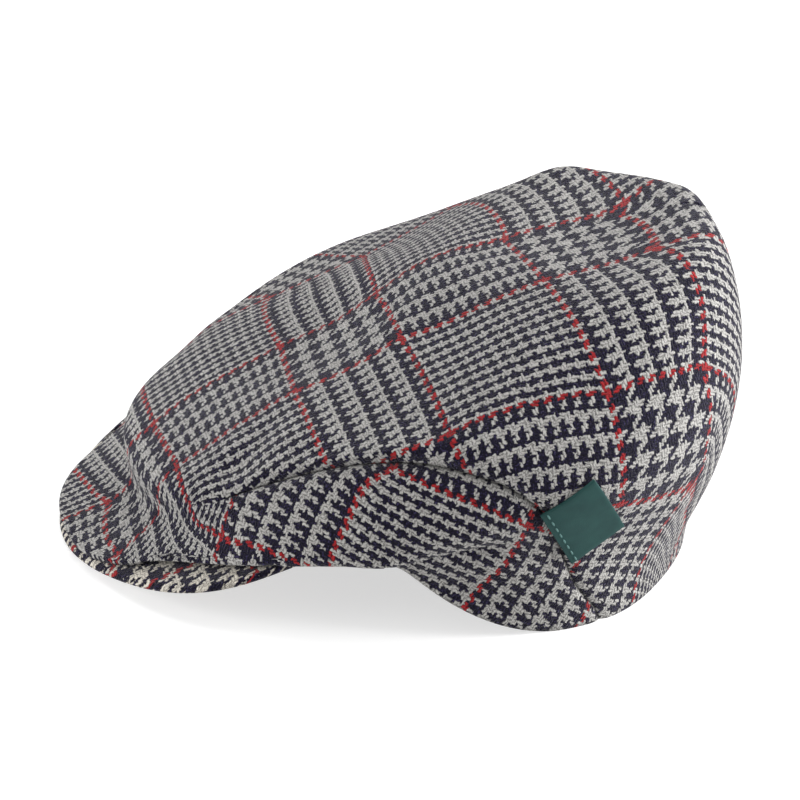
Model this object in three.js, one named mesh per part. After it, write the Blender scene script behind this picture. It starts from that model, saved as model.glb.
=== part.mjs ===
// A flat cap in checked wool: one-piece crown with a dart on each side, a stiff
// cloth-covered peak under its front, and a leather label tab in the left dart.
// Millimetres, +Z up, front of the cap towards -Y, wearer's left towards +X.
// The cap rests on its back hem and on the tip of its peak at z = 0.
import * as THREE from "three";

// Driving sizes
const CLOTH_WALL = 2.0;
const CROWN_TOP_Z = 103;
const CROWN_TOP_SLOPE = 0.36;
const CROWN_TOP_SPREAD = 0.92;
const PEAK_THICK = 3.0;
const PEAK_FRONT_Y = -135;
const PEAK_SLOPE = 0.42;
const PEAK_ARCH = 4.4;
const PEAK_ARCH_HALF_WIDTH = 76;
const PEAK_HALF_ANGLE = 57;
const PEAK_EDGE_ROUND = 1.2;
const DART_DEPTH = 2.6;
const DART_HALF_WIDTH = 4.5;
const RIGHT_FOLD_SHARE = 0.6;
const TAB_THICK = 1.4;
const TAB_STAND_OFF = 1.1;
const LAYER_GAP = 0.5;

// Where the crown's plan centre lies from the middle of the whole cap: the peak adds
// length in front, and the tab adds width on the left
const CROWN_CENTRE_X = -1.2;
const CROWN_CENTRE_Y = 13.0;

// Mesh steps
const CROWN_COLUMNS = 72;
const PEAK_COLUMNS = 36;
const PEAK_ROWS = 5;
const TAB_STEPS = 5;

// Distance along the cloth from the crown's middle to each ring of the section table
const RING_DISTANCE = [0, 60, 105, 128, 152, 172, 195];

// Rows of the crown's mesh, by distance along the cloth, closer together at the dart
const CROWN_ROW_DISTANCE = [
  14, 28, 42, 56, 70, 84, 96, 106, 115, 121, 125,
  129, 133, 139, 146, 153, 160, 167, 174, 181, 188, 195,
];

// One row per section, turned from the front (0) to the back (180), the same on both
// sides. Each pair is radius and height of a ring.
const SECTION_COLUMNS = ["turn", "mid", "shoulder", "dart", "roll", "tuck", "hem"];
const SECTIONS = [
  [0, [42, 75], [92, 49], [111, 33], [110, 20], [120, 12], [135, 6]],
  [20, [43, 76], [93, 52], [110, 36], [111, 24], [121, 15], [127, 11]],
  [40, [46, 80], [90, 58], [98, 48], [109, 30], [112, 22], [97, 29]],
  [60, [48, 84], [87, 66], [92, 60], [105, 36], [102, 28], [92, 33]],
  [80, [50, 90], [88, 75], [95, 64], [102, 39], [95, 24], [93, 14]],
  [100, [54, 99], [89, 82], [104, 60], [99, 38], [95, 20], [94, 1]],
  [120, [59, 107], [92, 91], [107, 65], [99, 34], [95, 16], [95, 0]],
  [140, [65, 113], [96, 100], [108, 68], [101, 32], [94, 14], [92, 0]],
  [160, [70, 116], [100, 107], [108, 70], [101, 30], [95, 13], [93, 0]],
  [180, [72, 117], [101, 109], [109, 70], [101, 30], [97, 13], [95, 0]],
];

// The dart's valley: turn from the front and distance along the cloth
const DART_PATH = { turn: [29, 36, 45, 64, 85, 93, 97], distance: [136, 129, 125, 125, 128, 132, 138] };

// Soft dents and folds, on both sides but shallower on the right. Each row is turn,
// distance, depth, and how far it reaches in turn and in distance.
const FOLDS = [
  [17, 108, 1.6, 6, 9],
  [31, 115, 2.2, 5, 8],
  [46, 105, 2.0, 7, 8],
  [78, 155, 2.4, 14, 6],
  [146, 135, 2.0, 7, 9],
  [143, 156, 1.8, 6, 7],
];

// Forms of the right side alone: the straighter shoulder and the two soft corners
// behind it, where the cloth stands proud. Same columns as the folds.
const RIGHT_FORMS = [
  [98, 68, 3.2, 22, 30],
  [136, 77, -3.4, 9, 16],
  [172, 90, -1.6, 8, 10],
];

// The peak's plan: radius of its front edge and of its hidden root at each turn
const PEAK_PLAN = { turn: [0, 20, 40, 48, 57], edge: [135, 130, 117, 106, 95], root: [88, 88, 89, 90, 91] };

// The tab's corners on the crown: turn from the front and distance along the cloth
const TAB_CORNERS = {
  sewnTop: [96.5, 140], sewnBottom: [106, 164], freeTop: [105.5, 128], freeBottom: [115, 149],
};

const degrees = (angle) => (angle * Math.PI) / 180;

// A cubic spline through the given places and values, with free ends, or with a stated
// slope at its start
function spline(places, values, startSlope = null) {
  const count = places.length;
  const bend = new Array(count).fill(0);
  const carry = new Array(count).fill(0);
  if (startSlope !== null) {
    const first = places[1] - places[0];
    bend[0] = -0.5;
    carry[0] = (3 / first) * ((values[1] - values[0]) / first - startSlope);
  }
  for (let i = 1; i < count - 1; i += 1) {
    const before = places[i] - places[i - 1];
    const after = places[i + 1] - places[i];
    const share = before / (before + after);
    const pull = share * bend[i - 1] + 2;
    const slopeAfter = (values[i + 1] - values[i]) / after;
    const slopeBefore = (values[i] - values[i - 1]) / before;
    bend[i] = (share - 1) / pull;
    carry[i] = ((6 * (slopeAfter - slopeBefore)) / (before + after) - share * carry[i - 1]) / pull;
  }
  bend[count - 1] = 0;
  for (let i = count - 2; i >= 0; i -= 1) {
    bend[i] = bend[i] * bend[i + 1] + carry[i];
  }
  return (place) => {
    let i = 1;
    while (i < count - 1 && places[i] < place) {
      i += 1;
    }
    const span = places[i] - places[i - 1];
    const right = (place - places[i - 1]) / span;
    const left = 1 - right;
    const curve = (left ** 3 - left) * bend[i - 1] + (right ** 3 - right) * bend[i];
    return left * values[i - 1] + right * values[i] + (curve * span * span) / 6;
  };
}

// The section table, carried past the front and the back so that it closes smoothly
function mirroredSections() {
  const pastFront = SECTIONS.slice(1, 4).reverse().map(([turn, ...rings]) => [-turn, ...rings]);
  const pastBack = SECTIONS.slice(-4, -1).reverse().map(([turn, ...rings]) => [360 - turn, ...rings]);
  return [...pastFront, ...SECTIONS, ...pastBack];
}

function ringSplines() {
  const rows = mirroredSections();
  const turns = rows.map((row) => row[0]);
  return SECTION_COLUMNS.slice(1).map((name, ring) => ({
    name,
    radius: spline(turns, rows.map((row) => row[ring + 1][0])),
    height: spline(turns, rows.map((row) => row[ring + 1][1])),
  }));
}

const RINGS = ringSplines();

// The crown's section at one turn, as radius and height against distance along the cloth.
// All sections leave the middle of the crown in one sloping plane.
function sectionAt(turn) {
  const radii = [0, ...RINGS.map((ring) => ring.radius(turn))];
  const heights = [CROWN_TOP_Z, ...RINGS.map((ring) => ring.height(turn))];
  const rise = -CROWN_TOP_SLOPE * Math.cos(degrees(turn)) * CROWN_TOP_SPREAD;
  return {
    radius: spline(RING_DISTANCE, radii, CROWN_TOP_SPREAD),
    height: spline(RING_DISTANCE, heights, rise),
  };
}

// How deep a list of soft forms pulls the cloth in at a place
function formDepth(forms, turn, distance) {
  let depth = 0;
  for (const [formTurn, formDistance, fullDepth, turnReach, distanceReach] of forms) {
    const across = (turn - formTurn) / turnReach;
    const along = (distance - formDistance) / distanceReach;
    depth += fullDepth * Math.exp(-across * across - along * along);
  }
  return depth;
}

// How deep the cloth is pulled in at a place, by the dart and by the folds
function pullIn(turn, distance, onLeft) {
  const { turn: dartTurns, distance: dartDistances } = DART_PATH;
  const firstTurn = dartTurns[0];
  const lastTurn = dartTurns[dartTurns.length - 1];
  let depth = 0;
  if (turn > firstTurn - 8 && turn < lastTurn + 8) {
    const along = Math.min(Math.max(turn, firstTurn), lastTurn);
    const fadeIn = THREE.MathUtils.smoothstep(turn, firstTurn - 4, firstTurn + 14);
    const fadeOut = 1 - THREE.MathUtils.smoothstep(turn, lastTurn - 3, lastTurn + 7);
    const away = (distance - spline(dartTurns, dartDistances)(along)) / DART_HALF_WIDTH;
    depth += DART_DEPTH * fadeIn * fadeOut * Math.exp(-away * away);
  }
  const share = onLeft ? 1 : RIGHT_FOLD_SHARE;
  return depth + share * formDepth(FOLDS, turn, distance) + (onLeft ? 0 : formDepth(RIGHT_FORMS, turn, distance));
}

// A point of the crown's outer face; turn runs -180 to 180, and left is positive
function crownPoint(turn, distance) {
  const half = Math.abs(turn);
  const section = sectionAt(half);
  const step = 0.5;
  const radius = section.radius(distance);
  const height = section.height(distance);
  const runR = section.radius(distance + step) - section.radius(distance - step);
  const runZ = section.height(distance + step) - section.height(distance - step);
  const length = Math.hypot(runR, runZ);
  const depth = pullIn(half, distance, turn >= 0);
  const pulledR = radius + (runZ / length) * depth;
  const pulledZ = height - (runR / length) * depth;
  const angle = degrees(turn);
  return new THREE.Vector3(pulledR * Math.sin(angle), -pulledR * Math.cos(angle), Math.max(pulledZ, 0));
}

const peakEdgeRadius = spline(
  [...PEAK_PLAN.turn.slice(1).map((t) => -t).reverse(), ...PEAK_PLAN.turn],
  [...PEAK_PLAN.edge.slice(1).reverse(), ...PEAK_PLAN.edge],
);
const peakRootRadius = spline(PEAK_PLAN.turn, PEAK_PLAN.root);

// Height of the peak's upper face over a place in plan
function peakTop(x, y) {
  const side = Math.min(1, (x / PEAK_ARCH_HALF_WIDTH) ** 2);
  const tip = PEAK_THICK - PEAK_SLOPE * PEAK_EDGE_ROUND;
  return tip + PEAK_SLOPE * (y - PEAK_FRONT_Y) - PEAK_ARCH * side;
}

// How far a pair of crown points must rise to lie on the peak and not in it
function liftOffPeak(outer, inner) {
  const turn = Math.abs(THREE.MathUtils.radToDeg(Math.atan2(inner.x, -inner.y)));
  const radius = Math.min(Math.hypot(inner.x, inner.y), Math.hypot(outer.x, outer.y));
  if (turn > PEAK_HALF_ANGLE + 6) {
    return 0;
  }
  if (radius > peakEdgeRadius(Math.min(turn, PEAK_HALF_ANGLE)) + 3) {
    return 0;
  }
  const outerRise = peakTop(outer.x, outer.y) + LAYER_GAP - outer.z;
  const innerRise = peakTop(inner.x, inner.y) + LAYER_GAP - inner.z;
  return Math.max(0, outerRise, innerRise);
}

// A closed shell from two grids of points: columns go round, and rows go down to a hem
function closedShell(outerTop, innerTop, outer, inner) {
  const points = [outerTop, innerTop];
  const index = [];
  const rows = outer[0].length;
  const columns = outer.length;
  const outerAt = (column, row) => 2 + (column % columns) * rows + row;
  const innerAt = (column, row) => outerAt(column, row) + columns * rows;
  outer.forEach((column) => points.push(...column));
  inner.forEach((column) => points.push(...column));
  for (let column = 0; column < columns; column += 1) {
    index.push(0, outerAt(column, 0), outerAt(column + 1, 0));
    index.push(1, innerAt(column + 1, 0), innerAt(column, 0));
    for (let row = 0; row < rows - 1; row += 1) {
      quad(index, outerAt(column, row), outerAt(column, row + 1), outerAt(column + 1, row + 1), outerAt(column + 1, row));
      quad(index, innerAt(column, row), innerAt(column + 1, row), innerAt(column + 1, row + 1), innerAt(column, row + 1));
    }
    const last = rows - 1;
    quad(index, outerAt(column, last), innerAt(column, last), innerAt(column + 1, last), outerAt(column + 1, last));
  }
  return solid(points, index);
}

// A closed slab from two grids of the same shape: the upper face and the lower face
function closedSlab(upper, lower) {
  const columns = upper.length;
  const rows = upper[0].length;
  const points = [...upper.flat(), ...lower.flat()];
  const index = [];
  const upperAt = (column, row) => column * rows + row;
  const lowerAt = (column, row) => upperAt(column, row) + columns * rows;
  for (let c = 0; c < columns - 1; c += 1) {
    for (let r = 0; r < rows - 1; r += 1) {
      quad(index, upperAt(c, r), upperAt(c, r + 1), upperAt(c + 1, r + 1), upperAt(c + 1, r));
      quad(index, lowerAt(c, r), lowerAt(c + 1, r), lowerAt(c + 1, r + 1), lowerAt(c, r + 1));
    }
    quad(index, upperAt(c, rows - 1), lowerAt(c, rows - 1), lowerAt(c + 1, rows - 1), upperAt(c + 1, rows - 1));
    quad(index, upperAt(c + 1, 0), lowerAt(c + 1, 0), lowerAt(c, 0), upperAt(c, 0));
  }
  for (let r = 0; r < rows - 1; r += 1) {
    quad(index, upperAt(0, r), lowerAt(0, r), lowerAt(0, r + 1), upperAt(0, r + 1));
    quad(index, upperAt(columns - 1, r + 1), lowerAt(columns - 1, r + 1), lowerAt(columns - 1, r), upperAt(columns - 1, r));
  }
  return solid(points, index);
}

function quad(index, a, b, c, d) {
  index.push(a, b, c, a, c, d);
}

function solid(points, index) {
  const geometry = new THREE.BufferGeometry();
  geometry.setAttribute("position", new THREE.Float32BufferAttribute(points.flatMap((p) => p.toArray()), 3));
  geometry.setIndex(index);
  geometry.computeVertexNormals();
  return geometry;
}

// The crown: one cloth, hollow, open below, with a flat hem where it rests
function crown() {
  const outer = [];
  for (let column = 0; column < CROWN_COLUMNS; column += 1) {
    const turn = -180 + (360 * column) / CROWN_COLUMNS;
    outer.push(CROWN_ROW_DISTANCE.map((distance) => crownPoint(turn, distance)));
  }
  const lastRow = CROWN_ROW_DISTANCE.length - 1;
  const inner = outer.map((column, c) => column.map((point, r) => {
    const beside = outer[(c + 1) % CROWN_COLUMNS][r].clone().sub(outer[(c + CROWN_COLUMNS - 1) % CROWN_COLUMNS][r]);
    const below = outer[c][Math.min(r + 1, lastRow)].clone().sub(outer[c][Math.max(r - 1, 0)]);
    const normal = below.cross(beside).normalize();
    return point.clone().addScaledVector(normal, -CLOTH_WALL);
  }));
  outer.forEach((column, c) => {
    column.forEach((point, r) => {
      const lift = liftOffPeak(point, inner[c][r]);
      point.z += lift;
      inner[c][r].z += lift;
    });
    flattenHem(column[lastRow], inner[c][lastRow]);
  });
  const outerTop = new THREE.Vector3(0, 0, CROWN_TOP_Z);
  const innerTop = new THREE.Vector3(0, 0, CROWN_TOP_Z - CLOTH_WALL);
  return closedShell(outerTop, innerTop, outer, inner);
}

// Where the hem rests, its edge is level and as wide as the cloth
function flattenHem(outer, inner) {
  if (outer.z > 0.8) {
    return;
  }
  const radius = Math.hypot(outer.x, outer.y);
  const inside = (radius - CLOTH_WALL) / radius;
  outer.z = 0;
  inner.set(outer.x * inside, outer.y * inside, 0);
}

// The peak: a stiff curved plate, sloping down to the front, with a rounded edge
function peak() {
  const upper = [];
  const lower = [];
  for (let column = 0; column <= PEAK_COLUMNS; column += 1) {
    const turn = -PEAK_HALF_ANGLE + (2 * PEAK_HALF_ANGLE * column) / PEAK_COLUMNS;
    const edge = peakEdgeRadius(turn);
    const root = peakRootRadius(Math.abs(turn));
    const upperColumn = [];
    const lowerColumn = [];
    for (let row = 0; row <= PEAK_ROWS; row += 1) {
      const radius = root + ((edge - PEAK_EDGE_ROUND - root) * row) / PEAK_ROWS;
      upperColumn.push(peakPoint(turn, radius, 0));
      lowerColumn.push(peakPoint(turn, radius, PEAK_THICK));
    }
    upperColumn.push(peakPoint(turn, edge, PEAK_EDGE_ROUND));
    lowerColumn.push(peakPoint(turn, edge, PEAK_THICK - PEAK_EDGE_ROUND));
    upper.push(upperColumn);
    lower.push(lowerColumn);
  }
  return closedSlab(upper, lower);
}

function peakPoint(turn, radius, below) {
  const x = radius * Math.sin(degrees(turn));
  const y = -radius * Math.cos(degrees(turn));
  return new THREE.Vector3(x, y, Math.max(0, peakTop(x, y) - below));
}

// The label tab: a leather rectangle that lies on the crown, sewn along its front edge
function labelTab() {
  const upper = [];
  const lower = [];
  const mix = THREE.MathUtils.lerp;
  const { sewnTop, sewnBottom, freeTop, freeBottom } = TAB_CORNERS;
  for (let back = 0; back <= TAB_STEPS; back += 1) {
    const upperRow = [];
    const lowerRow = [];
    for (let down = 0; down <= TAB_STEPS; down += 1) {
      const v = down / TAB_STEPS;
      const u = back / TAB_STEPS;
      const turn = mix(mix(sewnTop[0], sewnBottom[0], v), mix(freeTop[0], freeBottom[0], v), u);
      const distance = mix(mix(sewnTop[1], sewnBottom[1], v), mix(freeTop[1], freeBottom[1], v), u);
      const point = crownPoint(turn, distance);
      const normal = crownPoint(turn, distance + 1).sub(point).cross(crownPoint(turn + 1, distance).sub(point));
      normal.normalize();
      lowerRow.push(point.clone().addScaledVector(normal, TAB_STAND_OFF));
      upperRow.push(point.clone().addScaledVector(normal, TAB_STAND_OFF + TAB_THICK));
    }
    upper.push(upperRow);
    lower.push(lowerRow);
  }
  return closedSlab(upper, lower);
}

const checkedWool = new THREE.MeshStandardMaterial({ color: 0x8b8b93, roughness: 0.95, metalness: 0 });
const peakWool = new THREE.MeshStandardMaterial({ color: 0x7f7d80, roughness: 0.95, metalness: 0 });
const greenLeather = new THREE.MeshStandardMaterial({ color: 0x1f5a48, roughness: 0.6, metalness: 0 });

function piece(name, geometry, material) {
  const mesh = new THREE.Mesh(geometry, material);
  mesh.name = name;
  return mesh;
}

const group = new THREE.Group();
group.position.set(CROWN_CENTRE_X, CROWN_CENTRE_Y, 0);
group.add(piece("crown", crown(), checkedWool));
group.add(piece("peak", peak(), peakWool));
group.add(piece("label_tab", labelTab(), greenLeather));

export default group;
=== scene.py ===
import math

import bmesh
import bpy
import numpy as np
from mathutils import Matrix, Vector


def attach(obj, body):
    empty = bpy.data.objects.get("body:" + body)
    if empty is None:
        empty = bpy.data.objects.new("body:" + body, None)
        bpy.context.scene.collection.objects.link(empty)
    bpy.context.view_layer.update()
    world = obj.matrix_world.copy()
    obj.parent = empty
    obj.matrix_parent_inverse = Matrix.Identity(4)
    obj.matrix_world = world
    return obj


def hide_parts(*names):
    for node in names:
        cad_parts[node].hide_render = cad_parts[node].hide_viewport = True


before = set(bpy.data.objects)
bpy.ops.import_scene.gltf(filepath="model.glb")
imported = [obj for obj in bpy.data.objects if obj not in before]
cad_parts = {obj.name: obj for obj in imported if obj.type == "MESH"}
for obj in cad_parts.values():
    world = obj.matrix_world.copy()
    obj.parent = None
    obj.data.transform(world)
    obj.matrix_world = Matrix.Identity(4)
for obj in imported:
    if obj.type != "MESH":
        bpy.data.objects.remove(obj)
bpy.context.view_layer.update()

MM = 0.001

# The crown's plan centre in the whole cap's frame
CROWN_CENTRE = Vector((-1.2, 13.0, 0.0))

# Camera, as near as could be worked out to where the photograph was taken from
VIEW_AZIMUTH = 75.3
VIEW_ELEVATION = 24.4
VIEW_ROLL = 3.7
VIEW_DISTANCE = 1500
VIEW_LENS = 187
AIM_HEIGHT = 45
AIM_LEFT = 12.9
AIM_UP = 2.4


def place_camera():
    azimuth = math.radians(VIEW_AZIMUTH)
    elevation = math.radians(VIEW_ELEVATION)
    roll = math.radians(VIEW_ROLL)
    back = Vector((
        math.sin(azimuth) * math.cos(elevation),
        -math.cos(azimuth) * math.cos(elevation),
        math.sin(elevation),
    ))
    level_right = Vector((math.cos(azimuth), math.sin(azimuth), 0))
    level_up = back.cross(level_right)
    right = math.cos(roll) * level_right + math.sin(roll) * level_up
    up = math.cos(roll) * level_up - math.sin(roll) * level_right
    aim = CROWN_CENTRE + Vector((0, 0, AIM_HEIGHT)) - AIM_LEFT * right + AIM_UP * up
    data = bpy.data.cameras.new("camera")
    data.lens = VIEW_LENS
    data.sensor_width = 36
    data.clip_end = 20
    camera = bpy.data.objects.new("camera", data)
    turned = Matrix((right, up, back)).transposed().to_4x4()
    camera.matrix_world = Matrix.Translation((aim + VIEW_DISTANCE * back) * MM) @ turned
    bpy.context.scene.collection.objects.link(camera)
    bpy.context.scene.camera = camera


place_camera()


# Crown sections: distance along the cloth of each ring, then one row per turn with the
# radius and height of every ring, from the front (0) to the back (180). They are rounded
# from a fit to the photograph's outline and check, and changed in places.
RING_DISTANCE = [0, 60, 105, 128, 152, 172, 195]
SECTIONS = [
    [0, (42, 75), (92, 49), (111, 33), (110, 20), (120, 12), (135, 6)],
    [20, (43, 76), (93, 52), (110, 36), (111, 24), (121, 15), (127, 11)],
    [40, (46, 80), (90, 58), (98, 48), (109, 30), (112, 22), (97, 29)],
    [60, (48, 84), (87, 66), (92, 60), (105, 36), (102, 28), (92, 33)],
    [80, (50, 90), (88, 75), (95, 64), (102, 39), (95, 24), (93, 14)],
    [100, (54, 99), (89, 82), (104, 60), (99, 38), (95, 20), (94, 1)],
    [120, (59, 107), (92, 91), (107, 65), (99, 34), (95, 16), (95, 0)],
    [140, (65, 113), (96, 100), (108, 68), (101, 32), (94, 14), (92, 0)],
    [160, (70, 116), (100, 107), (108, 70), (101, 30), (95, 13), (93, 0)],
    [180, (72, 117), (101, 109), (109, 70), (101, 30), (97, 13), (95, 0)],
]
CROWN_TOP_HEIGHT = 103
CROWN_TOP_SLOPE = 0.36
CROWN_TOP_SPREAD = 0.92
CLOTH_WALL = 2.0
RIGHT_FOLD_SHARE = 0.6
LAYER_GAP = 0.5

# The dart's seam, from its front tip back to the tab, and on down to the hem
DART_TURN = [29, 36, 45, 64, 85, 93, 97]
DART_DISTANCE = [136, 129, 125, 125, 128, 132, 138]
REAR_SEAM_DISTANCE = [138, 162, 177, 189, 195]
REAR_SEAM_TURN = [97, 105, 110, 115, 116]

# Soft dents and folds: turn, distance, depth, reach in turn and in distance
FOLDS = [
    [17, 108, 1.6, 6, 9],
    [31, 115, 2.2, 5, 8],
    [46, 105, 2.0, 7, 8],
    [78, 155, 2.4, 14, 6],
    [146, 135, 2.0, 7, 9],
    [143, 156, 1.8, 6, 7],
]

# Forms of the right side alone: a straighter shoulder and two soft corners behind it
RIGHT_FORMS = [
    [98, 68, 3.2, 22, 30],
    [136, 77, -3.4, 9, 16],
    [172, 90, -1.6, 8, 10],
]

# The peak's plan and slope
PEAK_TURN = [0, 20, 40, 48, 57]
PEAK_EDGE = [135, 130, 117, 106, 95]
PEAK_ROOT = [88, 88, 89, 90, 91]
PEAK_THICK = 3.0
PEAK_FRONT = -135
PEAK_PRESSED = 0.5
PEAK_SLOPE = 0.42
PEAK_ARCH = 4.4
PEAK_ARCH_HALF_WIDTH = 76


def spline(places, values, start_slope=None):
    """A cubic spline along the last axis, with free ends or a stated slope at its start."""
    x = np.asarray(places, float)
    y = np.asarray(values, float)
    gaps = np.diff(x)
    rises = np.diff(y) / gaps
    count = len(x)
    system = np.eye(count)
    target = np.zeros(y.shape)
    for i in range(1, count - 1):
        system[i, i - 1:i + 2] = gaps[i - 1], 2 * (gaps[i - 1] + gaps[i]), gaps[i]
        target[..., i] = 6 * (rises[..., i] - rises[..., i - 1])
    if start_slope is not None:
        system[0, :2] = 2 * gaps[0], gaps[0]
        target[..., 0] = 6 * (rises[..., 0] - start_slope)
    bend = target @ np.linalg.inv(system).T

    def at(place):
        place = np.asarray(place, float)
        i = np.clip(np.searchsorted(x, place), 1, count - 1)

        def pick(table, index):
            if table.ndim == 1:
                return table[index]
            if index.ndim == table.ndim:
                return np.take_along_axis(table, index, -1)
            return np.take_along_axis(table, index[..., None], -1)[..., 0]

        gap = gaps[i - 1]
        right = (place - x[i - 1]) / gap
        left = 1 - right
        curve = (left ** 3 - left) * pick(bend, i - 1) + (right ** 3 - right) * pick(bend, i)
        return left * pick(y, i - 1) + right * pick(y, i) + curve * gap * gap / 6

    return at


def smooth_step(value, low, high):
    share = np.clip((value - low) / (high - low), 0, 1)
    return share * share * (3 - 2 * share)


def ring_splines():
    before = [[-row[0]] + row[1:] for row in SECTIONS[3:0:-1]]
    after = [[360 - row[0]] + row[1:] for row in SECTIONS[-2:-5:-1]]
    rows = before + SECTIONS + after
    turns = [row[0] for row in rows]
    radius = [spline(turns, [row[ring][0] for row in rows]) for ring in range(1, 7)]
    height = [spline(turns, [row[ring][1] for row in rows]) for ring in range(1, 7)]
    return radius, height


RING_RADIUS, RING_HEIGHT = ring_splines()
dart_at = spline(DART_TURN, DART_DISTANCE)
rear_seam_at = spline(REAR_SEAM_DISTANCE, REAR_SEAM_TURN)
peak_edge_at = spline(
    [-turn for turn in PEAK_TURN[:0:-1]] + PEAK_TURN, PEAK_EDGE[:0:-1] + PEAK_EDGE
)
peak_root_at = spline(PEAK_TURN, PEAK_ROOT)


def section(turn, distance):
    """Radius and height of the crown's sections, before dents, and their slopes."""
    half = np.abs(turn)
    radii = np.stack([0 * half] + [ring(half) for ring in RING_RADIUS], -1)
    heights = np.stack([0 * half + CROWN_TOP_HEIGHT] + [ring(half) for ring in RING_HEIGHT], -1)
    rise = -CROWN_TOP_SLOPE * np.cos(np.radians(half)) * CROWN_TOP_SPREAD
    radius = spline(RING_DISTANCE, radii, CROWN_TOP_SPREAD)
    height = spline(RING_DISTANCE, heights, rise)
    step = 0.5
    run_r = radius(distance + step) - radius(distance - step)
    run_z = height(distance + step) - height(distance - step)
    length = np.hypot(run_r, run_z)
    return radius(distance), height(distance), run_r / length, run_z / length


# How the dart's groove and the rear seam's groove are cut into the cloth
DART_DEPTH = 2.6
DART_SOFT_WIDTH = 4.5
DART_SHARP_WIDTH = 1.3
DART_SOFT_SHARE = 0.7
DART_SHARP_SHARE = 0.5
DART_LINE_START = 4
DART_LINE_END = 1
REAR_SEAM_DEPTH = 1.4
REAR_SEAM_WIDTH = 1.8
REAR_SEAM_RADIUS = 96

# The crease under the flap's bulge, on the left side: turn and distance along its line,
# and the turns over which it starts and fades
CREASE_TURN = [62, 70.5, 80, 90, 98]
CREASE_DISTANCE = [173, 163.4, 157.6, 152.8, 150]
CREASE_STARTS = (60, 70)
CREASE_FADES = (82, 96)
CREASE_STEP = (-1.6, 1.8)
CREASE_DEPTH = 4.4
CREASE_REACH = 12
CREASE_BULGE = 1.2
BULGE_ABOVE = 6
BULGE_REACH = 4
crease_line_at = spline(CREASE_TURN, CREASE_DISTANCE)

# Small dents on the left side, in the same terms as the folds
SMALL_DENTS = [[31, 104, 1.7, 4.5, 16], [47, 101, -0.9, 7, 12], [74, 98, 0.8, 6, 14]]


def crease_depth(half, distance):
    """How deep the cloth drops back just under the flap's bulge."""
    ends = smooth_step(half, *CREASE_STARTS) * (1 - smooth_step(half, *CREASE_FADES))
    below = distance - crease_line_at(np.clip(half, CREASE_TURN[0], CREASE_TURN[-1]))
    drop = smooth_step(below, *CREASE_STEP) * np.exp(-np.maximum(below, 0) / CREASE_REACH)
    bulge = np.exp(-((below + BULGE_ABOVE) / BULGE_REACH) ** 2)
    return ends * (CREASE_DEPTH * drop - CREASE_BULGE * bulge)


def form_depth(forms, half, distance):
    """How deep a list of soft forms pulls the cloth in."""
    depth = 0
    for form_turn, form_distance, full_depth, turn_reach, distance_reach in forms:
        across = (half - form_turn) / turn_reach
        along = (distance - form_distance) / distance_reach
        depth = depth + full_depth * np.exp(-across * across - along * along)
    return depth


def pull_in(turn, distance):
    """How deep the cloth is pulled in by the dart, the rear seam and the folds."""
    half = np.abs(turn)
    seam = dart_at(np.clip(half, DART_TURN[0], DART_TURN[-1]))
    start = smooth_step(half, DART_TURN[0] - 4, DART_TURN[0] + 14)
    end = 1 - smooth_step(half, DART_TURN[-1] - 3, DART_TURN[-1] + 7)
    away = np.abs(distance - seam)
    soft = np.exp(-(away / DART_SOFT_WIDTH) ** 2)
    sharp = np.exp(-away / DART_SHARP_WIDTH)
    depth = DART_DEPTH * start * end * (DART_SOFT_SHARE * soft + DART_SHARP_SHARE * sharp)
    below = smooth_step(distance, REAR_SEAM_DISTANCE[0] - 4, REAR_SEAM_DISTANCE[0] + 6)
    seam_turn = rear_seam_at(np.clip(distance, REAR_SEAM_DISTANCE[0], REAR_SEAM_DISTANCE[-1]))
    away = np.abs(half - seam_turn) * math.radians(1) * REAR_SEAM_RADIUS
    depth += REAR_SEAM_DEPTH * below * np.exp(-away / REAR_SEAM_WIDTH)
    left = turn >= 0
    both = form_depth(FOLDS, half, distance) * np.where(left, 1.0, RIGHT_FOLD_SHARE)
    left_only = crease_depth(half, distance) + form_depth(SMALL_DENTS, half, distance)
    right_only = form_depth(RIGHT_FORMS, half, distance)
    return depth + both + np.where(left, left_only, right_only)


def crown_points(turn, distance, proud=0.0):
    """Points of the crown's outer face, or of a face that stands proud of it."""
    radius, height, run_r, run_z = section(turn, distance)
    depth = pull_in(turn, distance) - proud
    radius = radius + run_z * depth
    height = np.maximum(height - run_r * depth, 0)
    angle = np.radians(turn)
    return np.stack([radius * np.sin(angle), -radius * np.cos(angle), height], -1)


def peak_top(x, y):
    side = np.minimum(1, (x / PEAK_ARCH_HALF_WIDTH) ** 2)
    return PEAK_THICK - PEAK_PRESSED + PEAK_SLOPE * (y - PEAK_FRONT) - PEAK_ARCH * side


# The crown's grid: one column for each degree, and rows that crowd at the dart
CROWN_COLUMNS = 360
CROWN_ROWS = 88
DART_ROW = 52
DART_BASE = 130
HEM_DISTANCE = 195
ROW_CROWDING = 1.5
DART_TIP_COLUMN = 28
SEAM_COLUMN = 96
SEAM_SWAY = 50
FARTHEST_GAP = 8

# The part of the crown that lies over the peak, and how near its edge it starts
OVER_PEAK_TURN = 63
OVER_PEAK_REACH = 3
OVER_PEAK_DISTANCE = 140


def row_distances():
    above = DART_BASE * (1 - np.linspace(1, 0, DART_ROW + 1) ** ROW_CROWDING)
    below = np.linspace(0, 1, CROWN_ROWS - DART_ROW + 1)[1:]
    return np.concatenate([above, DART_BASE + (HEM_DISTANCE - DART_BASE) * below ** ROW_CROWDING])


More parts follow.
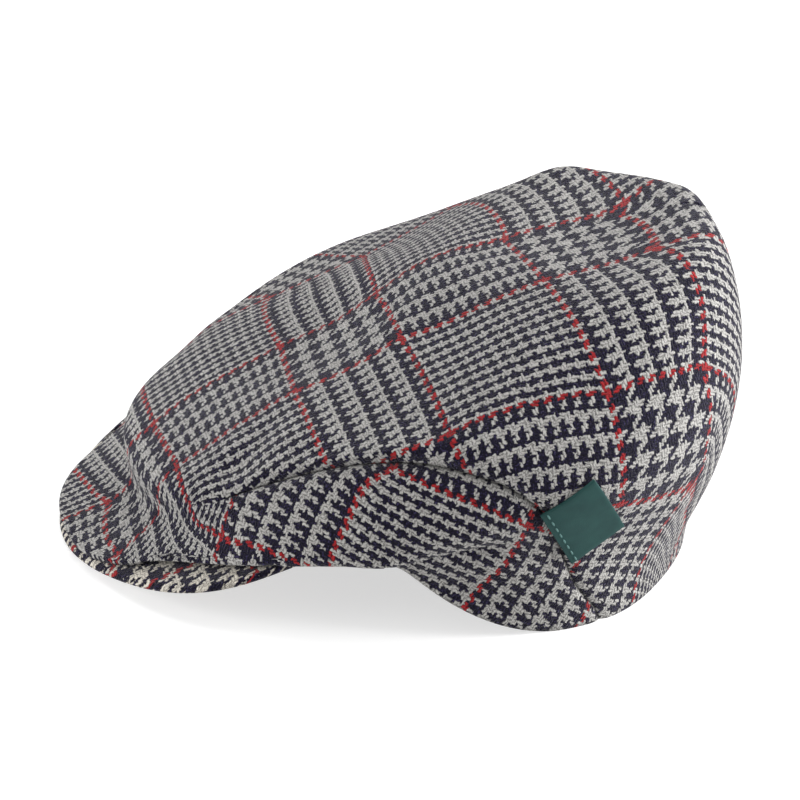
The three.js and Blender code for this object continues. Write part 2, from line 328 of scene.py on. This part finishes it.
def crown_places():
    """Turn and distance of each grid point, so that a row follows the dart and a
    column follows the rear seam."""
    base_turns = np.linspace(-180, 180, CROWN_COLUMNS + 1)
    base_rows = row_distances()
    half = np.abs(base_turns)
    dart = dart_at(np.clip(half, DART_TURN[0], DART_TURN[-1]))
    above = base_rows[None, :] / DART_BASE * dart[:, None]
    share = (base_rows - DART_BASE) / (HEM_DISTANCE - DART_BASE)
    below = dart[:, None] + share[None, :] * (HEM_DISTANCE - dart[:, None])
    distance = np.where(base_rows[None, :] <= DART_BASE, above, below)
    sway = np.cos(np.clip((half - SEAM_COLUMN) / SEAM_SWAY, -1, 1) * math.pi / 2) ** 2
    seam = rear_seam_at(np.clip(distance, REAR_SEAM_DISTANCE[0], HEM_DISTANCE)) - SEAM_COLUMN
    turn = base_turns[:, None] + np.sign(base_turns)[:, None] * sway[:, None] * seam
    return turn, distance


def seam_gap(turn, distance):
    """How far each place is from the nearest sewn line, in mm along the cloth."""
    half = np.abs(turn)
    dart = dart_at(np.clip(half, DART_TURN[0], DART_TURN[-1]))
    before_start = DART_TURN[0] + DART_LINE_START - half
    past_end = half - DART_TURN[-1] + DART_LINE_END
    past_ends = np.maximum(before_start, past_end)
    from_dart = np.hypot(distance - dart, np.maximum(past_ends, 0))
    seam_turn = rear_seam_at(np.clip(distance, REAR_SEAM_DISTANCE[0], REAR_SEAM_DISTANCE[-1]))
    from_rear = np.abs(half - seam_turn) * math.radians(1) * REAR_SEAM_RADIUS
    from_rear = np.hypot(from_rear, np.maximum(REAR_SEAM_DISTANCE[0] - distance, 0))
    return np.minimum(np.minimum(from_dart, from_rear), FARTHEST_GAP)


def crown_surface():
    turn, distance = crown_places()
    points = crown_points(turn, distance)
    angle = np.degrees(np.arctan2(points[..., 0], -points[..., 1]))
    radius = np.hypot(points[..., 0], points[..., 1])
    edge = peak_edge_at(np.clip(angle, -PEAK_TURN[-1], PEAK_TURN[-1]))
    over = (np.abs(angle) < OVER_PEAK_TURN) & (radius < edge + OVER_PEAK_REACH)
    over &= distance > OVER_PEAK_DISTANCE
    need = peak_top(points[..., 0], points[..., 1]) + LAYER_GAP + CLOTH_WALL - points[..., 2]
    points[..., 2] += np.where(over, np.maximum(need, 0), 0)
    return points, turn, distance


def finish_piece(name, bm, nodes, material):
    """Makes a bmesh an object in metres that stands for the given CAD nodes."""
    mesh = bpy.data.meshes.new(name)
    bmesh.ops.translate(bm, verts=bm.verts, vec=CROWN_CENTRE)
    bmesh.ops.scale(bm, verts=bm.verts, vec=(MM, MM, MM))
    bm.to_mesh(mesh)
    bm.free()
    for polygon in mesh.polygons:
        polygon.use_smooth = True
    mesh.materials.append(material)
    piece = bpy.data.objects.new(name, mesh)
    bpy.context.scene.collection.objects.link(piece)
    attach(piece, "root")
    for node in nodes:
        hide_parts(node)
    return piece


# Shader maths written as expressions
class Value:
    """A shader socket that takes part in sums as a number does."""

    def __init__(self, shade, socket):
        self.shade = shade
        self.socket = socket

    def maths(self, operation, first, second=None):
        values = {0: first}
        if second is not None:
            values[1] = second
        node = self.shade.node("ShaderNodeMath", {"operation": operation}, values)
        return Value(self.shade, node.outputs[0])

    def __add__(self, other):
        return self.maths("ADD", self, other)

    __radd__ = __add__

    def __sub__(self, other):
        return self.maths("SUBTRACT", self, other)

    def __rsub__(self, other):
        return self.maths("SUBTRACT", other, self)

    def __mul__(self, other):
        return self.maths("MULTIPLY", self, other)

    __rmul__ = __mul__

    def __truediv__(self, other):
        return self.maths("DIVIDE", self, other)

    def __mod__(self, other):
        return self.maths("FLOORED_MODULO", self, other)

    def __lt__(self, other):
        return self.maths("LESS_THAN", self, other)

    def __gt__(self, other):
        return self.maths("GREATER_THAN", self, other)

    def smallest(self, other):
        return self.maths("MINIMUM", self, other)

    def floor(self):
        return self.maths("FLOOR", self)

    def sine(self):
        return self.maths("SINE", self)


class Shade:
    """A material that is built node by node."""

    def __init__(self, name):
        self.material = bpy.data.materials.new(name)
        self.material.use_nodes = True
        self.tree = self.material.node_tree
        self.surface = self.tree.nodes["Principled BSDF"]

    def node(self, kind, settings=None, values=None):
        node = self.tree.nodes.new(kind)
        for key, value in (settings or {}).items():
            setattr(node, key, value)
        for key, value in (values or {}).items():
            self.feed(node.inputs[key], value)
        return node

    def feed(self, socket, value):
        if isinstance(value, Value):
            self.tree.links.new(value.socket, socket)
        elif isinstance(value, bpy.types.NodeSocket):
            self.tree.links.new(value, socket)
        else:
            socket.default_value = value

    def number(self, socket):
        return Value(self, socket)

    def mix(self, share, first, second):
        values = {0: share, 6: first, 7: second}
        return self.node("ShaderNodeMix", {"data_type": "RGBA"}, values).outputs[2]

    def scaled(self, colour, factor):
        values = {0: colour, "Scale": factor}
        return self.node("ShaderNodeVectorMath", {"operation": "SCALE"}, values).outputs[0]

    def noise(self, coordinates, scale, detail, roughness):
        values = {"Vector": coordinates, "Scale": scale, "Detail": detail, "Roughness": roughness}
        return self.number(self.node("ShaderNodeTexNoise", None, values).outputs["Fac"])

    def bump(self, height, distance, strength):
        values = {"Height": height, "Distance": distance, "Strength": strength}
        return self.node("ShaderNodeBump", None, values).outputs["Normal"]


# The check: threads in one repeat, and how its bars lie
REPEAT = 84
WIDE_ZONE = 36
WIDE_BAR = 8
NARROW_START = 39
NARROW_END = 81
NARROW_BAR = 4
RED_THREADS = 2
LATE_WARP = 110
LATE_SHIFT = 2
THREAD = 1.12

# Painted shade in the seams: a dark line where the cloth folds into them, its width and how dark it
# is
SEAM_SHADE_WIDTH = 1.1
SEAM_PAINTED_SHADE = 0.85

# How far brushed fibres blur a thread's edge, in threads, and how deep the weave's bump is
FUZZ = 1.9
WEAVE_BUMP = 0.0008
WEAVE_STRENGTH = 0.8

# The wool's grain: how fine its noises are, per metre, and where flecks start
WOBBLE_SCALE = 950.0
FIBRE_SCALE = 2600.0
SLUB_SCALE = 260.0
FLECK_SCALE = 1500.0
DARK_FLECKS = 0.41
LIGHT_FLECKS = 0.59

NAVY = (0.0068, 0.0056, 0.0145)
CREAM = (0.402, 0.392, 0.376)
# The peak's cream: the crown's cream painted warmer and brighter, for warm light bounced onto the
# peak's cloth
CREAM_PAINTED_BOUNCE = (0.600, 0.560, 0.490)
RED = (0.300, 0.018, 0.022)


def zone_marks(thread, late):
    """Whether a thread is navy, and whether it is red."""
    place = thread % REPEAT
    wide = (place < WIDE_ZONE) * ((place % WIDE_BAR) < WIDE_BAR / 2)
    narrow_part = (place > NARROW_START - 0.5) * (place < NARROW_END - 0.5)
    narrow = narrow_part * (((place - NARROW_START + late) % NARROW_BAR) < NARROW_BAR / 2)
    red = (place > REPEAT - RED_THREADS - 0.5) + (place > WIDE_ZONE - 0.5) * (
        place < WIDE_ZONE + RED_THREADS - 0.5)
    return wide + narrow, red


def wool_check(name, cream, seams):
    """Brushed twill wool: threads from the cloth map, two over and two under."""
    shade = Shade(name)
    cloth = shade.node("ShaderNodeUVMap", {"uv_map": "cloth"}).outputs["UV"]
    place = shade.node("ShaderNodeTexCoord").outputs["Object"]
    wobble = shade.node("ShaderNodeTexNoise", None,
                        {"Vector": place, "Scale": WOBBLE_SCALE, "Detail": 3.0})
    push = shade.node("ShaderNodeVectorMath", {"operation": "SUBTRACT"},
                      {0: wobble.outputs["Color"], 1: (0.5, 0.5, 0.5)}).outputs[0]
    push = shade.node("ShaderNodeVectorMath", {"operation": "SCALE"},
                      {0: push, "Scale": FUZZ}).outputs[0]
    moved = shade.node("ShaderNodeVectorMath", {"operation": "ADD"}, {0: cloth, 1: push}).outputs[0]
    split = shade.node("ShaderNodeSeparateXYZ", None, {0: moved})
    across = shade.number(split.outputs[0])
    along = shade.number(split.outputs[1])
    warp = across.floor()
    weft = along.floor()
    warp_up = ((warp + weft) % 4) < 2
    warp_navy, warp_red = zone_marks(warp, (warp > LATE_WARP) * LATE_SHIFT)
    weft_navy, weft_red = zone_marks(weft, 0)
    fibres = shade.noise(place, FIBRE_SCALE, 3.0, 0.7)
    slub = shade.noise(place, SLUB_SCALE, 2.0, 0.6)
    fleck = shade.noise(place, FLECK_SCALE, 2.0, 0.6)
    tone = (0.25 + fibres * 1.0 + slub * 0.5) * (1 - (fleck < DARK_FLECKS) * 0.35)
    cream_now = shade.scaled(cream, tone)
    navy_now = shade.scaled(NAVY, 0.3 + fibres * 1.8 + (fleck > LIGHT_FLECKS) * 4)
    red_now = shade.scaled(RED, tone)
    warp_colour = shade.mix(warp_red, shade.mix(warp_navy, cream_now, navy_now), red_now)
    weft_colour = shade.mix(weft_red, shade.mix(weft_navy, cream_now, navy_now), red_now)
    colour = shade.mix(warp_up, weft_colour, warp_colour)
    warp_round = ((across - warp) * math.pi).sine()
    weft_round = ((along - weft) * math.pi).sine()
    thread_height = warp_up * warp_round + (1 - warp_up) * weft_round
    height = thread_height * 0.6 + fibres * 0.9
    # Painted shade: each thread's colour darkens towards its edges, for the shade between threads
    lit = 0.25 + thread_height * 0.8
    if seams:
        stored = shade.node("ShaderNodeAttribute", {"attribute_name": "seam_gap"})
        # Painted shade: the colour darkens within about a mm of a sewn line, for the shadow in the
        # seam's fold
        seam_shade_mask = 1 - (shade.number(stored.outputs["Fac"]) / SEAM_SHADE_WIDTH).smallest(1)
        lit = lit * (1 - seam_shade_mask * SEAM_PAINTED_SHADE)
    shade.feed(shade.surface.inputs["Base Color"], shade.scaled(colour, lit))
    shade.feed(shade.surface.inputs["Normal"], shade.bump(height, WEAVE_BUMP, WEAVE_STRENGTH))
    shade.surface.inputs["Roughness"].default_value = 0.95
    shade.surface.inputs["Specular IOR Level"].default_value = 0.1
    shade.surface.inputs["Sheen Weight"].default_value = 0.16
    shade.surface.inputs["Sheen Roughness"].default_value = 0.3
    return shade.material


crown_wool = wool_check("checked wool", CREAM, True)
# The peak's wool is the crown's cloth, with painted warm bounce light in its cream
peak_wool = wool_check("peak wool", CREAM_PAINTED_BOUNCE, False)


# Where the check's threads lie on the crown: turn, distance, warp thread, weft thread.
# The turns and distances were worked out beforehand from places marked on the photograph.
CHECK_PLACES = [
    [-46, 82, -48, 84], [-68, 63, -48, 120],
    [0, 166, 0, 0], [0, 116, 0, 36], [-9, 73, 0, 84], [-10, 36, 0, 120],
    [-178, 21, 0, 168], [-176, 51, 0, 204],
    [17, 184, 36, 0], [17, 119, 36, 36], [25, 78, 36, 84], [51, 51, 36, 120],
    [128, 40, 36, 168], [154, 60, 36, 204],
    [78, 108, 84, 120], [115, 107, 84, 168], [137, 114, 84, 204],
    [115, 138, 120, 168], [138, 139, 120, 204],
]
# The same below the dart, where the cloth comes round the dart's tip
FLAP_PLACES = [
    [66, 126, 120, 84], [71, 131, None, 84], [78, 134, None, 84], [86, 136, None, 84],
    [95, 142, 168, 84], [61, 131, 120, None], [59, 137, 120, None], [58, 144, 120, None],
    [57, 151, 120, None], [57, 162, 120, None], [94, 154, 168, None], [92, 164, 168, None],
    [87, 178, 168, None], [24, 133, None, 36], [26, 148, None, 36], [35, 154, 84, 36],
    [45, 157, None, 36], [52, 165, None, 36], [34, 133, 84, None], [34, 143, 84, None],
    [36, 168, 84, None],
]
FLAT_STEP = 4
FLAT_ROUNDS = 40
PLACE_HOLD = 12.0
HEM_EASE = 0.2
FRONT_TO_CENTRE = 168
LEAST_WEIGHT = 0.02
NEVER_ZERO = 1e-9
# Coarse columns repeated past each end, so that the spline runs on round the crown
OVERLAP = 6


class FlatCloth:
    """The crown's cloth cut along its darts and laid flat, on a coarse copy of its grid."""

    def __init__(self, points, turn, distance):
        self.turn = turn
        self.distance = distance
        self.points = points[:-1:FLAT_STEP, ::FLAT_STEP]
        self.columns, self.rows = self.points.shape[:2]
        self.base = np.linspace(-180, 180, self.columns, endpoint=False)
        self.cut_row = DART_ROW // FLAT_STEP
        self.above = np.arange(self.columns * self.rows).reshape(self.columns, self.rows)
        self.above[:, 0] = 0
        half = np.abs(self.base)
        row = np.arange(self.rows)
        on_dart = (half > DART_TIP_COLUMN) & (half <= SEAM_COLUMN)
        cut = on_dart[:, None] & (row == self.cut_row)[None, :]
        cut |= (half == SEAM_COLUMN)[:, None] & (row > self.cut_row)[None, :]
        self.flap = self.above.copy()
        self.flap[cut] = self.above.size + np.arange(cut.sum())
        self.count = self.above.size + int(cut.sum())
        self.solve()

    def triangles(self):
        """Corners of each triangle of the flat cloth, and its share in the sum."""
        corners, shares, places = [], [], []
        for column in range(self.columns):
            after = (column + 1) % self.columns
            in_flap_columns = max(abs(self.base[column]), abs(self.base[after])) <= SEAM_COLUMN
            for row in range(self.rows - 1):
                lower = in_flap_columns and row >= self.cut_row
                table = self.flap if lower else self.above
                near_hem = max(0, row - self.cut_row - 2) / (self.rows - self.cut_row)
                share = 1 if in_flap_columns else max(HEM_EASE, 1 - 2 * near_hem)
                a, b = (column, row), (after, row)
                c, d = (after, row + 1), (column, row + 1)
                for trio in ((a, d, c), (a, c, b)):
                    if row == 0 and trio == (a, c, b):
                        continue
                    corners.append([table[place] for place in trio])
                    places.append([self.points[place] for place in trio])
                    shares.append(share)
        return np.array(corners), np.array(places), np.array(shares)

    def solve(self):
        corners, places, shares = self.triangles()
        first = places[:, 1] - places[:, 0]
        second = places[:, 2] - places[:, 0]
        length = np.linalg.norm(first, axis=1)
        along = (first * second).sum(1) / length
        tall = np.linalg.norm(np.cross(first, second), axis=1) / length
        flat = np.zeros((len(corners), 3, 2))
        flat[:, 1, 0] = length
        flat[:, 2, 0] = along
        flat[:, 2, 1] = tall
        matrix = np.zeros((self.count, self.count))
        sides = []
        for i, j, k in ((0, 1, 2), (1, 2, 0), (2, 0, 1)):
            to_i = flat[:, i] - flat[:, k]
            to_j = flat[:, j] - flat[:, k]
            twice = np.abs(to_i[:, 0] * to_j[:, 1] - to_i[:, 1] * to_j[:, 0])
            weight = shares * np.maximum((to_i * to_j).sum(1) / twice, LEAST_WEIGHT)
            ends = corners[:, i], corners[:, j]
            np.add.at(matrix, (ends[0], ends[0]), weight)
            np.add.at(matrix, (ends[1], ends[1]), weight)
            np.add.at(matrix, (ends[0], ends[1]), -weight)
            np.add.at(matrix, (ends[1], ends[0]), -weight)
            sides.append((ends, weight, flat[:, i] - flat[:, j]))
        spare = np.setdiff1d(np.arange(self.count), np.unique(corners))
        matrix[spare, spare] = 1
        inverse, pull = self.hold_places(matrix)
        laid = self.first_guess()
        for _ in range(FLAT_ROUNDS):
            moved = np.zeros((len(corners), 2, 2))
            for ends, weight, side in sides:
                now = laid[ends[0]] - laid[ends[1]]
                moved += weight[:, None, None] * now[:, :, None] * side[:, None, :]
            turn_x = moved[:, 0, 0] + moved[:, 1, 1]
            turn_y = moved[:, 1, 0] - moved[:, 0, 1]
            size = np.hypot(turn_x, turn_y) + NEVER_ZERO
            cosine, sine = turn_x / size, turn_y / size
            target = pull.copy()
            for ends, weight, side in sides:
                turned = np.stack([
                    cosine * side[:, 0] - sine * side[:, 1],
                    sine * side[:, 0] + cosine * side[:, 1],
                ], -1) * weight[:, None]
                np.add.at(target, ends[0], turned)
                np.add.at(target, ends[1], -turned)
            laid = np.stack([inverse[0] @ target[:, 0], inverse[1] @ target[:, 1]], -1)
        self.laid = laid

    def first_guess(self):
        """The cloth laid out by turn and distance alone."""
        distance = self.distance[:-1:FLAT_STEP, ::FLAT_STEP]
        turn = np.radians(self.turn[:-1:FLAT_STEP, ::FLAT_STEP])
        laid = np.zeros((self.count, 2))
        for table in (self.above, self.flap):
            laid[table, 0] = distance * np.sin(turn)
            laid[table, 1] = FRONT_TO_CENTRE - distance * np.cos(turn)
        return laid

    def hold_places(self, matrix):
        """Adds the check's known places to the sum, and gives the two inverses."""
        pull = np.zeros((self.count, 2))
        both = [matrix.copy(), matrix.copy()]
        for table, marks in ((self.above, CHECK_PLACES), (self.flap, FLAP_PLACES)):
            for turn, distance, warp, weft in marks:
                corner, share = self.find(table, turn, distance)
                for axis, thread in enumerate((warp, weft)):
                    if thread is None:
                        continue
                    both[axis][np.ix_(corner, corner)] += PLACE_HOLD * np.outer(share, share)
                    pull[corner, axis] += PLACE_HOLD * share * thread * THREAD
        return [np.linalg.inv(one) for one in both], pull

    def find(self, table, turn, distance):
        """The coarse cell round a place on the crown, and its corners' shares."""
        away = (self.turn - turn) ** 2 + (self.distance - distance) ** 2
        column, row = np.unravel_index(away[:-1].argmin(), away[:-1].shape)
        across, down = column / FLAT_STEP, row / FLAT_STEP
        c, r = int(across), min(int(down), self.rows - 2)
        x, y = across - c, down - r
        after = (c + 1) % self.columns
        corner = np.array([table[c, r], table[after, r], table[c, r + 1], table[after, r + 1]])
        share = np.array([(1 - x) * (1 - y), x * (1 - y), (1 - x) * y, x * y])
        kept = share > 0
        return corner[kept], share[kept]

    def fine(self):
        """The laid cloth on the crown's full grid: above the dart and behind, and the flap."""
        rows = row_distances()
        coarse = rows[::FLAT_STEP]
        cut = self.cut_row
        whole = self.laid[self.above].transpose(2, 0, 1)
        flap = self.laid[self.flap].transpose(2, 0, 1)
        half = np.abs(self.base)
        open_column = (half <= DART_TIP_COLUMN) | (half >= SEAM_COLUMN)

        def down(values, low, high):
            table = values[..., low:high + 1]
            fine_rows = rows[low * FLAT_STEP:high * FLAT_STEP + 1]
            at = spline(coarse[low:high + 1], table)
            return at(np.broadcast_to(fine_rows, table.shape[:-1] + fine_rows.shape))

        def along(values, places, fine_places):
            table = values.swapaxes(-1, -2)
            at = spline(places, table)
            wanted = np.broadcast_to(fine_places, table.shape[:-1] + fine_places.shape)
            return at(wanted).swapaxes(-1, -2)

        top = down(whole, 0, cut)
        full = down(whole, 0, self.rows - 1)
        top = np.where(open_column[:, None], full[..., :DART_ROW + 1], top)
        low_flap = down(flap, cut, self.rows - 1)
        in_front = half <= DART_TIP_COLUMN
        low_flap = np.where(in_front[:, None], full[..., DART_ROW:], low_flap)
        order = np.arange(-OVERLAP, self.columns + OVERLAP)
        places = -180 + order * 360 / self.columns
        turns = np.linspace(-180, 180, CROWN_COLUMNS + 1)
        above = along(top[:, order % self.columns], places, turns)
        front = np.flatnonzero(half <= SEAM_COLUMN)
        front_turns = turns[np.abs(turns) <= SEAM_COLUMN]
        flap_fine = along(low_flap[:, front], self.base[front], front_turns)
        back = np.arange(front[-1], front[-1] + self.columns - len(front) + 2)
        back_turns = np.arange(SEAM_COLUMN, 360 - SEAM_COLUMN + 1)
        back_places = back * 360 / self.columns - 180
        behind = along(full[:, back % self.columns, DART_ROW:], back_places, back_turns)
        return above, flap_fine, behind


# Points nearer than this, in mm, are one point: the crown's pole and its closing column
DOUBLES_REACH = 0.0005


def make_crown():
    points, turn, distance = crown_surface()
    above, flap, behind = FlatCloth(points, turn, distance).fine()
    bm = bmesh.new()
    bmesh.ops.create_grid(bm, x_segments=CROWN_COLUMNS, y_segments=CROWN_ROWS, size=1)
    bm.verts.ensure_lookup_table()
    width = CROWN_COLUMNS + 1
    middle = CROWN_COLUMNS // 2
    cloth = bm.loops.layers.uv.new("cloth")
    for face in bm.faces:
        places = [divmod(loop.vert.index, width) for loop in face.loops]
        low = min(row for row, _ in places) >= DART_ROW
        turns = [column - middle for _, column in places]
        in_front = max(abs(turn) for turn in turns) <= SEAM_COLUMN
        for loop, (row, column) in zip(face.loops, places):
            if not low:
                laid = above[:, column, row]
            elif in_front:
                laid = flap[:, column - middle + SEAM_COLUMN, row - DART_ROW]
            else:
                laid = behind[:, (column - middle - SEAM_COLUMN) % CROWN_COLUMNS, row - DART_ROW]
            loop[cloth].uv = Vector(laid) / THREAD
    gap = bm.verts.layers.float.new("seam_gap")
    gaps = seam_gap(turn, distance)
    for vertex in bm.verts:
        row, column = divmod(vertex.index, width)
        vertex.co = Vector(points[column, row])
        vertex[gap] = gaps[column, row]
    bmesh.ops.remove_doubles(bm, verts=bm.verts, dist=DOUBLES_REACH)
    bmesh.ops.recalc_face_normals(bm, faces=bm.faces)
    crown = finish_piece("crown_cloth", bm, ["crown"], crown_wool)
    wall = crown.modifiers.new("wall", "SOLIDIFY")
    wall.thickness = CLOTH_WALL * MM
    wall.offset = -1
    wall.use_even_offset = False


make_crown()


# The peak: a stiff plate covered in the same cloth, its rim rounded
PEAK_COLUMNS = 120
PEAK_ROWS = 24
PEAK_RIM_STEPS = 6
# Where the check starts on the peak, so that its wide zone lies along the rim
PEAK_CHECK_START = (-15, 122)


def peak_section(turn):
    """Places in one column of the peak, from its hidden root over the rim and back under."""
    edge = float(peak_edge_at(turn))
    root = float(peak_root_at(abs(turn)))
    half = PEAK_THICK / 2
    span = edge - half - root
    places = [(root + span * step / PEAK_ROWS, 0) for step in range(PEAK_ROWS)]
    for step in range(PEAK_RIM_STEPS + 1):
        angle = math.pi * step / PEAK_RIM_STEPS
        places.append((edge - half + half * math.sin(angle), half - half * math.cos(angle)))
    for step in range(PEAK_ROWS - 1, -1, -1):
        places.append((root + span * step / PEAK_ROWS, PEAK_THICK))
    return places


def make_peak():
    turns = np.linspace(-PEAK_TURN[-1], PEAK_TURN[-1], PEAK_COLUMNS + 1)
    sections = [peak_section(turn) for turn in turns]
    rows = len(sections[0]) - 1
    bm = bmesh.new()
    bmesh.ops.create_grid(bm, x_segments=PEAK_COLUMNS, y_segments=rows, size=1)
    bm.verts.ensure_lookup_table()
    layer = bm.verts.layers.float_vector.new("cut")
    for vertex in bm.verts:
        row, column = divmod(vertex.index, PEAK_COLUMNS + 1)
        radius, below = sections[column][row]
        angle = math.radians(turns[column])
        x = radius * math.sin(angle)
        y = -radius * math.cos(angle)
        vertex.co = Vector((x, y, max(peak_top(x, y) - below, 0)))
        vertex[layer] = Vector((x + PEAK_CHECK_START[0], y + below + PEAK_CHECK_START[1], 0))
    cloth = bm.loops.layers.uv.new("cloth")
    for face in bm.faces:
        for loop in face.loops:
            loop[cloth].uv = Vector(loop.vert[layer][:2]) / THREAD
    bm.verts.layers.float_vector.remove(layer)
    edges = [edge for edge in bm.edges if edge.is_boundary]
    bmesh.ops.holes_fill(bm, edges=edges)
    bmesh.ops.recalc_face_normals(bm, faces=bm.faces)
    finish_piece("peak_cloth", bm, ["peak"], peak_wool)


make_peak()


# The label tab: corners as turn and distance on the crown
TAB_SEWN = [(96.4, 138.6), (105.6, 162.0)]
TAB_FREE = [(105.8, 126), (115.2, 145.5)]
TAB_THICK = 1.4
TAB_STAND_OFF = 1.6
TAB_STIFFNESS = 0.7
TAB_STEPS = 16
TAB_EDGE_ROUND = 0.35
LEATHER_DARK = (0.008, 0.028, 0.029, 1)
LEATHER_LIGHT = (0.018, 0.064, 0.058, 1)


def tab_place(back, down, proud):
    """A point over the tab's patch of the crown, from its sewn edge back and down.
    The leather is stiff, so it bends less than the crown does."""
    def over(back, down):
        sewn = np.array(TAB_SEWN[0]) * (1 - down) + np.array(TAB_SEWN[1]) * down
        free = np.array(TAB_FREE[0]) * (1 - down) + np.array(TAB_FREE[1]) * down
        turn, distance = sewn * (1 - back) + free * back
        return crown_points(np.array([turn]), np.array([distance]), proud)[0]

    sewn_edge = over(0, 0) * (1 - down) + over(0, 1) * down
    free_edge = over(1, 0) * (1 - down) + over(1, 1) * down
    flat = sewn_edge * (1 - back) + free_edge * back
    return Vector(flat * TAB_STIFFNESS + over(back, down) * (1 - TAB_STIFFNESS))


def green_leather():
    shade = Shade("green leather")
    place = shade.node("ShaderNodeTexCoord").outputs["Object"]
    grain = shade.node("ShaderNodeTexVoronoi", {"feature": "DISTANCE_TO_EDGE"},
                       {"Vector": place, "Scale": 1500.0})
    creases = shade.number(grain.outputs["Distance"])
    cloudy = shade.noise(place, 160.0, 3.0, 0.6)
    fine = shade.noise(place, 3000.0, 2.0, 0.6)
    colour = shade.mix(cloudy * 0.7 + fine * 0.3, LEATHER_DARK, LEATHER_LIGHT)
    shade.feed(shade.surface.inputs["Base Color"], colour)
    shade.feed(shade.surface.inputs["Roughness"], 0.42 + fine * 0.25)
    shade.feed(shade.surface.inputs["Normal"], shade.bump(creases * 0.6 + fine * 0.4, 0.0002, 0.5))
    shade.surface.inputs["Specular IOR Level"].default_value = 0.12
    return shade.material


def make_tab():
    bm = bmesh.new()
    bmesh.ops.create_grid(bm, x_segments=TAB_STEPS, y_segments=TAB_STEPS, size=1)
    for vertex in bm.verts:
        back = (vertex.co.x + 1) / 2
        down = (1 - vertex.co.y) / 2
        vertex.co = tab_place(back, down, TAB_STAND_OFF + TAB_THICK)
    tab = finish_piece("tab_leather", bm, ["label_tab"], green_leather())
    wall = tab.modifiers.new("thickness", "SOLIDIFY")
    wall.thickness = TAB_THICK * MM
    wall.offset = -1
    edge = tab.modifiers.new("edge", "BEVEL")
    edge.width = TAB_EDGE_ROUND * MM
    edge.segments = 2
    edge.limit_method = "ANGLE"


# The row of stitches that holds the tab's front edge
STITCHES = 8
STITCH_LENGTH = 2.3
STITCH_THICK = 0.7
STITCH_INSET = 0.10
STITCH_SUNK = 0.15
STITCH_STEP = 0.02
STITCH_DARK = (0.020, 0.080, 0.072, 1)
STITCH_LIGHT = (0.070, 0.180, 0.170, 1)


def sewing_thread():
    shade = Shade("sewing thread")
    place = shade.node("ShaderNodeTexCoord").outputs["Object"]
    twist = shade.noise(place, 4000.0, 2.0, 0.6)
    colour = shade.mix(twist, STITCH_DARK, STITCH_LIGHT)
    shade.feed(shade.surface.inputs["Base Color"], colour)
    shade.feed(shade.surface.inputs["Normal"], shade.bump(twist, 0.0001, 0.5))
    shade.surface.inputs["Roughness"].default_value = 0.6
    return shade.material


def make_stitches():
    bm = bmesh.new()
    proud = TAB_STAND_OFF + TAB_THICK + STITCH_THICK * STITCH_SUNK
    for stitch in range(STITCHES):
        down = (stitch + 0.5) / STITCHES
        middle = tab_place(STITCH_INSET, down, proud)
        ahead = (tab_place(STITCH_INSET, down + STITCH_STEP, proud) - middle).normalized()
        aside = (tab_place(STITCH_INSET + STITCH_STEP, down, proud) - middle).normalized()
        made = bmesh.ops.create_uvsphere(bm, u_segments=8, v_segments=8, radius=STITCH_THICK / 2)
        out = ahead.cross(aside).normalized()
        turned = Matrix((aside, out, ahead)).transposed()
        for vertex in made["verts"]:
            local = vertex.co.copy()
            local.z *= STITCH_LENGTH / STITCH_THICK
            vertex.co = middle + turned @ local
    bmesh.ops.recalc_face_normals(bm, faces=bm.faces)
    finish_piece("tab_stitches", bm, [], sewing_thread())


make_tab()
make_stitches()


# The floor: a pale table, softly lit from within, and the studio's lights
FLOOR_REACH = 4
FLOOR_TONE = 0.45
FLOOR_GLOW = 0.62
LIGHT_AIM = Vector((0, 0, 0.05))
STUDIO_GLOW = 0.42


def make_floor():
    bm = bmesh.new()
    bmesh.ops.create_grid(bm, x_segments=1, y_segments=1, size=FLOOR_REACH)
    mesh = bpy.data.meshes.new("floor")
    bm.to_mesh(mesh)
    bm.free()
    floor = bpy.data.objects.new("floor", mesh)
    bpy.context.scene.collection.objects.link(floor)
    shade = Shade("pale floor")
    shade.surface.inputs["Base Color"].default_value = (FLOOR_TONE, FLOOR_TONE, FLOOR_TONE, 1)
    shade.surface.inputs["Emission Color"].default_value = (1, 1, 1, 1)
    shade.surface.inputs["Emission Strength"].default_value = FLOOR_GLOW
    shade.surface.inputs["Roughness"].default_value = 0.9
    mesh.materials.append(shade.material)


def make_light(name, place, size, power):
    data = bpy.data.lights.new(name, "AREA")
    data.shape = "DISK"
    data.size = size
    data.energy = power
    light = bpy.data.objects.new(name, data)
    light.location = place
    light.rotation_euler = (LIGHT_AIM - Vector(place)).to_track_quat("-Z", "Y").to_euler()
    bpy.context.scene.collection.objects.link(light)


make_floor()
make_light("top light", (-0.5, 0.2, 1.5), 1.4, 18)
make_light("back light", (0.2, 1.6, 0.6), 1.2, 66)
make_light("front light", (0.0, -1.6, 0.35), 1.2, 32)
world = bpy.data.worlds.new("studio")
world.use_nodes = True
background = world.node_tree.nodes["Background"]
background.inputs["Color"].default_value = (1, 1, 1, 1)
background.inputs["Strength"].default_value = STUDIO_GLOW
bpy.context.scene.world = world
bpy.context.scene.view_settings.view_transform = "Standard"

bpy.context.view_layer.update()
